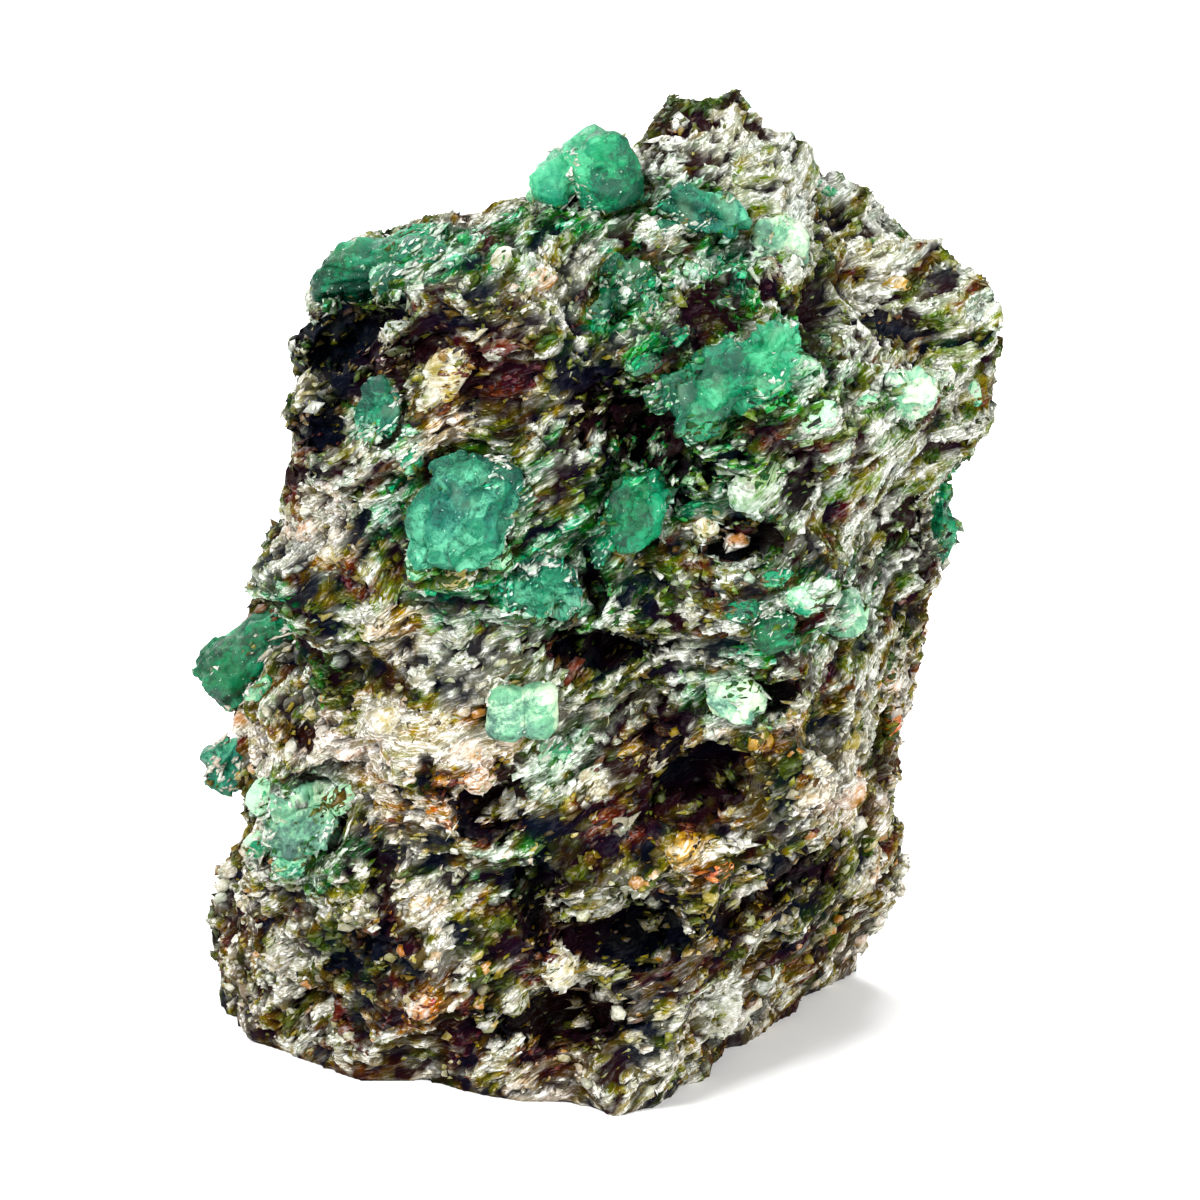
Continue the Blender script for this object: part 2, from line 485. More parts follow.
def crystal_material(name, deep, pale, roughness, transmission, shine):
    """Beryl: clear green, bluer in places, with soft paler clouds and dark flaws."""
    made, shader, start = new_material(name)
    local = start.add("ShaderNodeAttribute", {"attribute_name": "local"}, out=1)
    skin = start.add("ShaderNodeAttribute", {"attribute_name": "skin"}, out=2)
    cloudy = start.add("ShaderNodeAttribute", {"attribute_name": "pale"}, out=2)
    clouds = start.noise(start.placed(local, scale=(330, 460, 460)), 1.0, 9.0, 0.72, 0.3)
    hues = start.noise(start.placed(local, shift=(0.2, 0.1, 0.3)), 260.0, 3.0, 0.6)
    specks = start.noise(local, 2600.0, 4.0, 0.8)
    broken = {"Vector": start.placed(local, scale=(560, 800, 800)), "Scale": 1.0}
    facets = start.add("ShaderNodeTexVoronoi", None, broken, out=1)
    share = (clouds.stretched(0.40, 0.62, -0.6, 0.6) + specks.stretched(0.38, 0.62, -0.25, 0.25)
             + facets.stretched(0.2, 0.8, -0.45, 0.45) + cloudy)
    bluer = (deep[0], deep[1] * 0.85, deep[2] + 0.015)
    body = hues.stretched(0.45, 0.62).tinted((*deep, 1.0), (*bluer, 1.0))
    colour = share.held().tinted(body, (*pale, 1.0))
    dark = (clouds * 0.6 + specks * 0.4 + cloudy * 0.12).stretched(0.53, 0.41) * 0.9
    colour = dark.tinted(colour, (deep[0] * 0.15, deep[1] * 0.16, deep[2] * 0.26, 1.0))
    colour = (skin * 0.45).tinted(colour, (0.14, 0.26, 0.16, 1.0))
    sparks = start.noise(local, 4600.0, 2.0, 0.6).stretched(0.70, 0.74, 0.0, 0.8)
    colour = sparks.tinted(colour, (0.66, 0.88, 0.74, 1.0))
    connect(shader, "Base Color", colour)
    connect(shader, "Roughness", (roughness + 0.5 * (specks - 0.5) + 0.4 * skin).held())
    height = clouds * 0.5 + specks * 0.4 + facets * 0.4
    normal = start.add("ShaderNodeBump", None, {"Strength": 0.9, "Distance": 0.4 * MM, "Height": height})
    connect(shader, "Normal", normal)
    shader.inputs["Transmission Weight"].default_value = transmission
    shader.inputs["IOR"].default_value = 1.58
    shader.inputs["Specular IOR Level"].default_value = shine
    return made


# ------------------------------------------------------------------ meshes

def clear_choice():
    bpy.ops.object.select_all(action="DESELECT")


def choose(piece):
    """Leaves this object alone selected and active."""
    clear_choice()
    piece.select_set(True)
    bpy.context.view_layer.objects.active = piece


def triangles_piece(name, points, triangles):
    """An object from arrays of points and triangles."""
    mesh = bpy.data.meshes.new(name)
    mesh.vertices.add(len(points))
    mesh.vertices.foreach_set("co", points.astype(np.float32).ravel())
    mesh.loops.add(triangles.size)
    mesh.loops.foreach_set("vertex_index", triangles.astype(np.int32).ravel())
    mesh.polygons.add(len(triangles))
    mesh.polygons.foreach_set("loop_start", np.arange(0, triangles.size, 3, dtype=np.int32))
    mesh.update(calc_edges=True)
    piece = bpy.data.objects.new(name, mesh)
    bpy.context.scene.collection.objects.link(piece)
    return piece


def mesh_points(mesh):
    points = np.empty(len(mesh.vertices) * 3, np.float32)
    mesh.vertices.foreach_get("co", points)
    return points.reshape(-1, 3).astype(float)


def mesh_normals(mesh):
    normals = np.empty(len(mesh.vertices) * 3, np.float32)
    mesh.vertices.foreach_get("normal", normals)
    return normals.reshape(-1, 3).astype(float)


def set_points(mesh, points):
    mesh.vertices.foreach_set("co", points.astype(np.float32).ravel())
    mesh.update()


def paint(mesh, name, values):
    """Stores a number, a place or a colour for every corner point of a mesh."""
    kind, field = {1: ("FLOAT", "value"), 3: ("FLOAT_VECTOR", "vector"), 4: ("FLOAT_COLOR", "color")}[
        1 if values.ndim == 1 else values.shape[1]]
    mesh.attributes.new(name, kind, "POINT").data.foreach_set(field, values.astype(np.float32).ravel())


def opaque(tones):
    return np.concatenate([tones, np.ones((len(tones), 1))], axis=1)


def read_paint(mesh, name, width):
    field = {1: "value", 3: "vector", 4: "color"}[width]
    values = np.empty(len(mesh.vertices) * width, np.float32)
    mesh.attributes[name].data.foreach_get(field, values)
    return values.astype(float) if width == 1 else values.reshape(-1, width).astype(float)


def copy_of(node, name, detail):
    """A copy of a frame node with its shared corners merged, remeshed evenly at this detail in metres."""
    piece = bpy.data.objects.new(name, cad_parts[node].data.copy())
    piece.data.name = name
    piece.data.materials.clear()
    bpy.context.scene.collection.objects.link(piece)
    choose(piece)
    bpy.ops.object.mode_set(mode="EDIT")
    bpy.ops.mesh.select_all(action="SELECT")
    bpy.ops.mesh.remove_doubles(threshold=1e-6)
    bpy.ops.object.mode_set(mode="OBJECT")
    change = piece.modifiers.new("even", "REMESH")
    change.mode, change.voxel_size, change.use_smooth_shade = "VOXEL", detail, True
    bpy.ops.object.modifier_apply(modifier="even")
    for layer in list(piece.data.uv_layers):
        piece.data.uv_layers.remove(layer)
    return piece


def hand_over(piece, material):
    """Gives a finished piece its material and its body."""
    piece.data.materials.append(material)
    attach(piece, BODY)


def tree_of(pieces):
    """One search tree over the surfaces of several pieces."""
    points, faces, start = [], [], 0
    for piece in pieces:
        mesh = piece.data
        points += [v.co.copy() for v in mesh.vertices]
        faces += [[start + i for i in polygon.vertices] for polygon in mesh.polygons]
        start = len(points)
    return BVHTree.FromPolygons(points, faces)


def surface_sample(piece, count, random):
    """Random places spread evenly over a piece: the triangle of each, its three weights, its point and normal."""
    mesh = piece.data
    mesh.calc_loop_triangles()
    corners = np.empty(len(mesh.loop_triangles) * 3, np.int32)
    mesh.loop_triangles.foreach_get("vertices", corners)
    corners = corners.reshape(-1, 3)
    points, normals = mesh_points(mesh), mesh_normals(mesh)
    sides = points[corners]
    areas = np.linalg.norm(np.cross(sides[:, 1] - sides[:, 0], sides[:, 2] - sides[:, 0]), axis=1)
    chosen = np.searchsorted(np.cumsum(areas) / areas.sum(), random.random(count))
    chosen = np.minimum(chosen, len(corners) - 1)
    first, second = random.random(count), random.random(count)
    over = first + second > 1
    first[over], second[over] = 1 - first[over], 1 - second[over]
    weights = np.stack([1 - first - second, first, second], axis=1)
    trio = corners[chosen]
    where = (points[trio] * weights[:, :, None]).sum(axis=1)
    facing = unit((normals[trio] * weights[:, :, None]).sum(axis=1))
    return trio, weights, where, facing


# ------------------------------------------------------------------ the rock

def nearness(points, tree, reach):
    """How near points are to a tree's surfaces, from 1 at them to 0 at this reach; 1 inside, too."""
    near = []
    for point in points.tolist():
        place, facing, _, distance = tree.find_nearest(point)
        outside = (Vector(point) - place).dot(facing) > 0
        near.append(max(0.0, 1 - distance / reach) if outside else 1.0)
    return np.array(near)


def smooth_facing(mesh, rounds=12):
    """The mesh's normals, evened out over their neighbours."""
    edges = np.empty(len(mesh.edges) * 2, np.int32)
    mesh.edges.foreach_get("vertices", edges)
    first, second = edges.reshape(-1, 2).T
    normals = mesh_normals(mesh)
    for _ in range(rounds):
        total = normals.copy()
        np.add.at(total, first, normals[second])
        np.add.at(total, second, normals[first])
        normals = unit(total)
    return normals


def make_rock(settings, crystals):
    """The schist: ledges of broken sheets, blocks and hollows, carved on a finely divided copy of the matrix."""
    random = np.random.default_rng(5)
    rock = copy_of(ROCK, "rock", settings.rock_detail)
    mesh = rock.data
    points, normals = mesh_points(mesh), smooth_facing(mesh)
    depth, inward = hollow_share(points)
    places = sheet_places(points)
    big, _ = blocks(places, (1.2, 3.4, 2.6))
    small, numbers = blocks(places, (0.5, 1.5, 1.1))
    rough = cloud(points, 0.9, 3.0)
    shares = tone_shares(points)
    calm = np.clip(1.3 - 3.0 * shares[:, SOUND].sum(axis=1), 0.3, 1)
    height = (big * 0.20 + small * 0.11 + rough * 0.07 - 0.10) * calm * settings.rock_relief
    long, short = np.array((0.9, 3.2, 2.6)), np.array((0.4, 1.2, 1.0))
    crevices = sample(noise.noise, places + 61.0, long) + 0.6 * sample(noise.noise, places + 44.0, short) - 0.2 * small
    crevices += 1.1 * shares[:, INK] - 0.5 * shares[:, SOUND].sum(axis=1)
    pits = np.clip(7.0 * (crevices - settings.crevice_rarity), 0, 1)
    lips = nearness(points, crystals, 1.5 * MM) * (depth < 0.3)
    lip = lips * np.clip(0.3 + 1.5 * cloud(points, 1.9, 17.0) + 0.3 * small, 0, 1) * 0.8
    foot = np.clip((points[:, 2] - 0.3 * MM) / (1.2 * MM), 0, 1)
    moved = normals * (height - 0.5 * pits * (1 - lips) + lip)[:, None] + inward
    points = points + moved * foot[:, None] * MM
    points[:, 2] = np.maximum(points[:, 2], 0.0)
    set_points(mesh, points)
    low = np.clip((-0.28 - height) / 0.08, 0, 1)
    dark = np.clip(np.maximum(np.maximum(pits, 0.8 * low), 1.6 * depth) * (1 - 0.6 * lips), 0, 1)
    tone = shaded(local_tones(points, 0.2, random), np.clip(0.85 + 0.6 * height, 0.3, 1.1), points)
    hue = np.clip(0.5 + 1.8 * cloud(points, 6.0, 35.0), 0, 1)[:, None]
    shadow = hue * np.array(linear(0.08, 0.0, 0.04)) + (1 - hue) * np.array(linear(0.0, 0.02, 0.08))
    tone = graded(tone) * (1 - dark[:, None]) + dark[:, None] * (0.03 * tone + shadow)
    paint(mesh, "tone", opaque(tone))
    paint(mesh, "sheet", sheet_places(points))
    paint(mesh, "gloss", 0.4 * (numbers > 0.7))
    paint(mesh, "dark", dark)
    paint(mesh, "facing", normals)
    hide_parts(ROCK)
    hand_over(rock, skin_material("schist skin", 0.42, 0.35, 0.85, 0.8, 0.04))
    return rock


# ------------------------------------------------------------------ mica flakes

LENS_FACES = np.array(((0, 1, 4), (1, 2, 4), (2, 3, 4), (3, 0, 4), (1, 0, 5), (2, 1, 5), (3, 2, 5), (0, 3, 5)))
LENS_CELL = np.array(((0.85, 0.5), (0.5, 0.85), (0.15, 0.5), (0.5, 0.15), (0.5, 0.5), (0.5, 0.5)))


def lens_piece(name, centres, axes, sizes, tones, gloss, random):
    """Many small lens-shaped flakes joined in one mesh: centres, their three directions and half sizes, tones."""
    count = len(centres)
    turn = random.uniform(0, math.pi / 2, (count, 1)) + np.arange(4) * math.pi / 2 + random.uniform(-0.35, 0.35, (count, 4))
    ring = np.stack([np.cos(turn), np.sin(turn), random.uniform(-0.3, 0.3, (count, 4))], axis=2)
    tips = random.uniform(-0.35, 0.35, (count, 2, 3))
    tips[:, :, 2] = (1, -1) + 0.4 * tips[:, :, 2]
    shape = np.concatenate([ring * (1.12, 1.12, 1), tips], axis=1) * sizes[:, None, :]
    points = (centres[:, None, :] + np.einsum("nij,njk->nik", shape, axes)).reshape(-1, 3)
    points[:, 2] = np.maximum(points[:, 2], 0.0)
    faces = LENS_FACES[None] + 6 * np.arange(count)[:, None, None]
    piece = triangles_piece(name, points, faces.reshape(-1, 3))
    paint(piece.data, "tone", opaque(np.repeat(tones, 6, axis=0)))
    paint(piece.data, "sheet", sheet_places(points))
    paint(piece.data, "gloss", np.repeat(gloss, 6))
    cells = math.ceil(math.sqrt(count))
    corner = np.stack([np.arange(count) % cells, np.arange(count) // cells], axis=1)
    places = ((corner[:, None, :] + LENS_CELL[None]) / cells).reshape(-1, 2)
    layer = piece.data.uv_layers.new(name="OFBake")
    layer.data.foreach_set("uv", places[faces.reshape(-1)].astype(np.float32).ravel())
    return piece


def across_of(normals, grain, random):
    """The direction in which the sheets' edges run over the surface, or a chance one where a sheet lies flat."""
    trace = np.cross(normals, grain)
    flat = np.cross(normals, random.normal(size=normals.shape))
    share = np.clip((np.linalg.norm(trace, axis=1) - 0.12) / 0.2, 0, 1)[:, None]
    return unit(share * unit(trace) + (1 - share) * unit(flat))


# The kinds of flake: share of the count, length, width and thickness as shares of it, rise (mm), own luck, gloss.
FLAKE_KINDS = (
    ("lumps", 0.34, 0.72, (0.50, 0.85), (0.30, 0.55), (0.02, 0.14), 0.25, 0.15),
    ("sheets", 0.42, 1.10, (0.30, 0.60), (0.10, 0.22), (0.02, 0.14), 0.20, 0.35),
    ("plates", 0.03, 1.80, (0.30, 0.50), (0.07, 0.14), (0.00, 0.10), 0.15, 0.30),
    ("glints", 0.20, 0.60, (0.25, 0.45), (0.08, 0.16), (0.04, 0.14), 0.50, 0.80),
)


def laid_flakes(kind, settings, where, facing, dark, random):
    """Centres, directions, half sizes, tones and gloss of one kind of flake laid at these places."""
    name, _, long, widths, thicknesses, rises, own, shine = kind
    count = len(where)
    grain = grain_field(where)
    sound = np.clip(4.0 * tone_shares(where)[:, SOUND].sum(axis=1) - 0.5, 0, 1)
    loose = 0.10 + (0.5 * sound + 0.5 * np.clip(0.25 + 1.5 * cloud(where, 8.0, 33.0), 0, 1))[:, None]
    along = unit(across_of(facing, grain, random) + loose * random.normal(size=(count, 3)))
    plate = unit(grain + random.uniform(0.0, 0.9, (count, 1)) * facing + loose * random.normal(size=(count, 3)))
    wide = unit(np.cross(plate, along))
    axes = np.stack([along, wide, np.cross(along, wide)], axis=1)
    length = settings.flake_length * long * np.clip(random.lognormal(0, 0.42, count), 0.4, 2.0) * (1 - 0.4 * sound)
    sizes = length[:, None] / 2 * np.stack(
        [np.ones(count), random.uniform(*widths, count), random.uniform(*thicknesses, count)], axis=1)
    reach = (np.abs(np.einsum("nij,nj->ni", axes, facing)) * sizes).max(axis=1)
    centres = where + facing * (random.uniform(*rises, count) * MM - reach)[:, None]
    tones = local_tones(where, own, random) * random.uniform(0.8, 1.3, (count, 1))
    tones = np.where(random.random((count, 1)) < (0.15 - 0.12 * sound)[:, None], 0.08 * tones, tones)
    if name == "glints":
        tones = np.where(random.random((count, 1)) < 0.6, tones ** 0.6, tones)
    tones = graded(shaded(tones, 1 - 0.75 * dark, where))
    return centres, axes, sizes, tones, shine * random.uniform(0.3, 1.0, count)


def scatter_flakes(kind, settings, rock, crystals, random):
    """One kind of flake over the rock, fewer in its dark crevices and none under a crystal."""
    count = int(settings.flake_count * kind[1])
    trio, weights, where, facing = surface_sample(rock, count, random)
    dark = (read_paint(rock.data, "dark", 1)[trio] * weights).sum(axis=1)
    even = (read_paint(rock.data, "facing", 3)[trio] * weights[:, :, None]).sum(axis=1)
    facing = unit(0.3 * facing + 0.7 * even)
    keep = (random.random(count) > dark * 0.9) & (where[:, 2] > 0.6 * MM) & (facing[:, 2] > -0.97)
    near = [crystals.find_nearest(p) for p in where.tolist()]
    keep &= np.array([(Vector(p) - hit[0]).dot(hit[1]) > -0.25 * MM for p, hit in zip(where.tolist(), near)])
    return laid_flakes(kind, settings, where[keep], facing[keep], dark[keep], random)


def cling_flakes(kind, settings, rock_tree, pieces, random):
    """One kind of flake clinging to the crystals: a ragged collar where each leaves the rock, and stray patches."""
    whole = sum(polygon.area for piece in pieces for polygon in piece.data.polygons)
    clinging = {row[0] + "_crystal": row[3] for row in CRYSTALS}
    places, ways = [], []
    for piece in pieces:
        area = sum(polygon.area for polygon in piece.data.polygons)
        count = int(settings.cling_count * kind[1] * area / whole)
        _, _, where, facing = surface_sample(piece, count, random)
        near = [rock_tree.find_nearest(p) for p in where.tolist()]
        away = np.array([(Vector(p) - hit[0]).dot(hit[1]) / MM for p, hit in zip(where.tolist(), near)])
        patch = cloud(where, 1.7, 81.0) + 0.5 * cloud(where, 0.7, 5.0)
        cover = clinging.get(piece.name, 0.2)
        keep = (away > -0.2) & (patch > -0.5 - cover + 0.75 * np.maximum(away, 0)) & (where[:, 2] > 0.6 * MM)
        keep &= (away < 0.5 + 2 * cover) | (patch > 0.7 - 0.6 * cover)
        places.append(where[keep])
        ways.append(facing[keep])
    where, facing = np.concatenate(places), np.concatenate(ways)
    return laid_flakes(kind, settings, where, facing, np.zeros(len(where)), random)


def make_flakes(settings, rock, crystals, pieces):
    """Mica flakes and the thin broken edges of the schist's sheets, in several joined pieces."""
    random = np.random.default_rng(11)
    rock_tree = tree_of([rock])
    sets = [scatter_flakes(kind, settings, rock, crystals, random) for kind in FLAKE_KINDS]
    sets += [cling_flakes(kind, settings, rock_tree, pieces, random) for kind in FLAKE_KINDS]
    centres, axes, sizes, tones, gloss = (np.concatenate(parts) for parts in zip(*sets))
    count = len(centres)
    material = skin_material("mica flakes", 0.26, 0.25, 0.6, 0.6, 0.22)
    groups = np.array_split(random.permutation(count), math.ceil(count / settings.flakes_a_piece))
    made = []
    for number, group in enumerate(groups):
        piece = lens_piece(f"flakes_{number + 1}", centres[group], axes[group], sizes[group],
                           tones[group], gloss[group], random)
        hand_over(piece, material)
        made.append(piece)
    return made


# ------------------------------------------------------------------ grains

def make_grains(settings, rock, crystals):
    """Rounded lumps of feldspar and quartz set among the sheets, mostly low on the rock."""
    random = np.random.default_rng(23)
    trio, weights, where, facing = surface_sample(rock, settings.grain_count * 6, random)
    depth = (read_paint(rock.data, "dark", 1)[trio] * weights).sum(axis=1)
    shares = tone_shares(where)
    shares = shares / shares.sum(axis=1, keepdims=True)
    pale = shares[:, [TONE_NAMES.index(name) for name in ("cream", "blush", "bone", "tan", "mint")]].sum(axis=1)
    chance = np.clip(pale - 0.32, 0.0, 1) ** 1.3 * np.clip(1.2 - depth, 0, 1) * (where[:, 2] > 1.4 * MM)
    order = np.argsort(-(chance ** 0.5) * random.random(len(where)) ** 0.35)[:settings.grain_count]
    where, facing, depth = where[order], facing[order], depth[order]
    near = [crystals.find_nearest(p) for p in where.tolist()]
    keep = np.array([(Vector(p) - hit[0]).dot(hit[1]) > 0.1 * MM for p, hit in zip(where.tolist(), near)])
    where, facing = where[keep], facing[keep]
    count = len(where)
    clear_choice()
    bpy.ops.mesh.primitive_ico_sphere_add(subdivisions=1, radius=1.0)
    pattern = bpy.context.object
    ball = mesh_points(pattern.data)
    faces = np.array([tuple(p.vertices) for p in pattern.data.polygons])
    bpy.data.objects.remove(pattern)
    size = settings.grain_size * np.clip(random.lognormal(0, 0.38, count), 0.45, 2.0) / 2
    grain = grain_field(where)
    along = across_of(facing, grain, random)
    wide = unit(np.cross(grain, along))
    axes = np.stack([along, wide, np.cross(along, wide)], axis=1)
    sizes = size[:, None] * np.stack(
        [random.uniform(0.9, 1.5, count), random.uniform(0.8, 1.1, count), random.uniform(0.55, 0.95, count)], axis=1)
    shape = ball[None] * (1 + 0.14 * random.normal(size=(count, len(ball), 1)))
    flat = unit(random.normal(size=(count * 3, 3))).reshape(count, 3, 3)
    for face in range(3):
        over = np.einsum("nij,nj->ni", shape, flat[:, face]) - random.uniform(0.45, 0.8, (count, 1))
        shape = shape - np.maximum(over, 0)[:, :, None] * flat[:, face][:, None, :]
    points = where[:, None] + np.einsum("nij,njk->nik", shape * sizes[:, None], axes)
    points = points - facing[:, None] * (size * random.uniform(0.1, 0.75, count))[:, None, None]
    tones = local_tones(where, 0.5, random)
    pales = TONE_TABLE[[TONE_NAMES.index(name) for name in ("cream", "blush", "bone", "smoke")]]
    chosen = pales[random.choice(4, count, p=(0.4, 0.25, 0.2, 0.15))]
    tones = graded((0.6 * tones + 0.4 * chosen) * random.uniform(0.6, 1.0, (count, 1)))
    all_faces = faces[None] + len(ball) * np.arange(count)[:, None, None]
    points = points.reshape(-1, 3)
    points[:, 2] = np.maximum(points[:, 2], 0.0)
    piece = triangles_piece("grains", points, all_faces.reshape(-1, 3))
    paint(piece.data, "sheet", sheet_places(points))
    paint(piece.data, "tone", opaque(np.repeat(tones, len(ball), axis=0)))
    paint(piece.data, "gloss", np.repeat(random.uniform(0.0, 0.5, count), len(ball)))
    hand_over(piece, skin_material("feldspar grains", 0.2, 0.3, 0.55, 0.6, 0.4))
    return piece


# Larger lumps set in the rock: side, across and up on its board, half length and width (mm), turn, tone.
LUMPS = (
    (0, -11.4, 16.6, 2.5, 1.6, 62, "cream"), (0, -12.6, 14.8, 1.4, 0.8, 50, "bone"), (0, -4.9, 23.6, 2.0, 1.1, 30, "blush"),
    (0, -7.0, 25.4, 1.2, 0.9, 10, "bone"), (0, 12.0, 27.8, 1.9, 1.5, 60, "sage"), (0, 17.4, 31.2, 1.7, 0.7, -20, "mint"),
    (0, 13.6, 25.0, 1.4, 1.1, 0, "steel"), (0, 22.4, 23.6, 1.3, 0.9, 20, "tan"), (0, 23.6, 15.6, 2.0, 1.5, 30, "sage"),
    (0, 20.4, 14.4, 1.3, 1.0, -30, "mint"), (0, 7.8, 5.4, 1.1, 0.9, 20, "cream"), (0, 10.2, 4.4, 1.0, 0.7, 0, "blush"),
    (0, -10.6, 1.8, 1.5, 1.1, 10, "cream"), (0, -13.6, 1.6, 1.1, 0.8, 20, "mint"), (0, -9.6, 1.9, 0.8, 0.6, 60, "bone"),
    (0, 10.6, -8.6, 1.5, 1.1, 20, "mint"), (0, 8.8, -6.2, 1.2, 0.9, 60, "mint"), (0, 12.0, -10.6, 1.2, 0.7, 10, "tan"),
    (0, -10.0, -11.6, 1.9, 1.6, 70, "blush"), (0, -9.0, -13.4, 1.3, 1.1, 40, "blush"), (0, -12.0, -9.0, 1.5, 1.1, 30, "cream"),
    (0, -15.6, -9.0, 2.0, 1.3, 10, "cream"), (0, -18.6, -11.0, 1.7, 1.1, 30, "blush"), (0, 18.6, -14.4, 1.8, 1.4, 30, "blush"),
    (0, 16.4, -12.6, 1.0, 0.8, 0, "cream"), (0, 6.4, -18.8, 1.7, 1.4, 60, "tan"), (0, 8.8, -20.2, 1.2, 0.9, 10, "amber"),
    (0, -6.6, -15.4, 1.3, 1.0, 50, "bone"), (0, -4.4, -14.4, 1.1, 0.8, 20, "cream"), (0, -21.6, 5.2, 1.3, 1.0, 30, "blush"),
    (0, -20.0, 3.4, 1.1, 0.8, 20, "cream"), (0, -28.4, -9.8, 1.6, 1.0, 20, "blush"), (0, -19.6, -15.0, 1.6, 1.2, 40, "mint"),
    (0, -26.0, -18.6, 1.4, 1.0, 20, "mint"), (0, 22.2, -9.2, 1.6, 0.7, 90, "amber"), (0, 9.6, -30.6, 2.6, 1.2, 80, "bone"),
    (0, 12.6, -29.0, 1.4, 1.0, 60, "steel"), (0, -24.0, -27.0, 1.6, 1.2, 20, "smoke"), (0, -13.4, -30.6, 1.3, 0.9, 30, "blush"),
    (0, -3.0, -27.6, 1.8, 1.3, 70, "cream"), (0, -6.4, -30.4, 1.3, 0.9, 30, "bone"), (0, -19.0, -23.4, 1.2, 0.8, 50, "cream"),
    (0, 11.6, 8.6, 2.4, 1.8, 60, "sage"), (0, -1.8, -14.0, 1.1, 0.8, 30, "sage"), (0, -3.4, -11.4, 2.0, 1.2, 20, "mint"),
    (90, -4.0, 14.0, 1.8, 1.3, 40, "sage"), (90, 5.0, 2.0, 1.5, 1.1, 70, "cream"), (90, -7.0, -10.0, 1.6, 1.2, 20, "blush"),
    (90, 8.0, -18.0, 1.4, 1.0, 50, "bone"), (90, 0.0, 24.0, 1.4, 1.0, 10, "steel"), (135, 4.0, 8.0, 1.8, 1.3, 30, "cream"),
    (135, -5.0, -14.0, 1.6, 1.2, 60, "blush"), (180, 0.0, 18.0, 1.8, 1.3, 20, "sage"), (180, -9.0, 4.0, 1.5, 1.1, 50, "cream"),
    (180, 8.0, -6.0, 1.7, 1.2, 10, "mint"), (180, -4.0, -19.0, 1.8, 1.4, 40, "blush"), (180, 14.0, 2.0, 1.4, 1.0, 70, "bone"),
    (225, 2.0, 12.0, 1.6, 1.2, 30, "cream"), (225, -4.0, -8.0, 1.7, 1.2, 20, "sage"), (225, 6.0, -20.0, 1.4, 1.0, 50, "blush"),
    (270, 4.0, 2.0, 1.6, 1.2, 60, "bone"), (270, -2.0, -18.0, 1.8, 1.3, 20, "blush"), (270, 8.0, 16.0, 1.4, 1.0, 40, "sage"),
    (315, 0.0, -4.0, 1.5, 1.1, 30, "cream"), (315, 3.0, -24.0, 1.4, 1.0, 50, "tan"), (315, -3.0, 18.0, 1.4, 1.0, 20, "steel"),
    (0, -2.8, 33.4, 1.9, 1.4, 60, "mint"), (0, -4.6, 31.9, 1.2, 0.9, 30, "mint"), (0, -13.0, 25.9, 2.7, 1.6, -8, "emerald"),
    (0, -15.3, 24.1, 2.3, 1.3, 0, "emerald"), (0, -18.0, 26.6, 2.0, 1.0, 6, "jade"), (0, 4.6, 15.3, 1.8, 1.3, 40, "emerald"),
    (0, 7.6, 13.0, 2.1, 1.5, 20, "emerald"), (0, 11.1, 17.2, 2.4, 1.8, 30, "jade"), (0, 14.5, 16.8, 2.0, 1.5, 0, "mint"),
    (0, 13.0, 19.9, 1.7, 1.0, 30, "jade"), (0, 3.1, 17.6, 1.4, 1.0, 0, "emerald"), (0, 16.2, 13.4, 1.6, 1.2, 60, "mint"),
    (0, -5.4, 0.0, 1.6, 1.2, 20, "jade"), (0, -1.9, -0.8, 1.5, 1.1, -20, "jade"), (0, 0.2, 3.4, 1.3, 0.9, 60, "pine"),
    (0, -13.0, 2.7, 1.8, 1.3, 70, "mint"), (0, -7.4, 3.0, 1.5, 1.1, 0, "jade"), (0, -5.9, 7.6, 1.2, 0.9, 40, "pine"),
    (0, 3.1, 30.2, 2.1, 1.0, 0, "jade"), (0, 10.3, 27.5, 1.7, 1.0, -40, "jade"), (0, 5.2, 27.7, 1.4, 0.9, 10, "pine"),
    (0, 0.0, 21.4, 1.3, 0.9, 60, "pine"), (0, 3.6, 21.6, 1.4, 1.0, -30, "emerald"), (0, 10.7, -0.8, 1.6, 1.0, 10, "emerald"),
    (0, 15.3, 0.0, 1.8, 1.2, 10, "mint"), (0, 19.1, -1.6, 1.6, 1.2, 30, "mint"), (0, 13.2, 1.6, 1.3, 0.8, 0, "jade"),
    (0, -24.9, -1.5, 1.8, 1.2, 50, "emerald"), (0, -25.9, -6.9, 1.6, 1.0, 40, "jade"), (0, -20.7, -18.4, 2.0, 1.2, 20, "mint"),
    (0, -25.2, -14.8, 1.8, 1.4, 50, "mint"), (0, -23.0, -20.0, 1.8, 1.0, 10, "jade"), (0, -16.4, 12.0, 1.3, 0.9, 80, "pine"),
    (0, -9.6, 26.6, 1.7, 0.9, 10, "jade"), (0, 7.2, 24.2, 1.5, 0.9, -30, "jade"), (90, 8.0, -3.0, 1.6, 1.1, 30, "emerald"),
    (90, -3.0, 9.0, 1.4, 1.0, 60, "jade"), (180, 7.6, 15.4, 1.8, 1.3, 20, "emerald"), (180, 2.4, 11.4, 1.6, 1.1, 0, "jade"),
    (180, 9.0, -17.4, 1.8, 1.3, 30, "mint"), (180, -11.0, -5.0, 1.5, 1.0, 60, "jade"), (225, -2.0, 17.0, 1.6, 1.1, 20, "jade"),
    (270, -9.0, 8.6, 1.5, 1.1, 40, "emerald"), (270, -6.0, 3.6, 1.4, 1.0, 0, "jade"), (315, 4.0, 9.0, 1.4, 1.0, 60, "jade"),
)
FRAGMENT_CLOUDS = {"pine": -0.8, "emerald": -0.35, "jade": 0.15, "mint": 0.75}  # how cloudy the lumps of beryl are


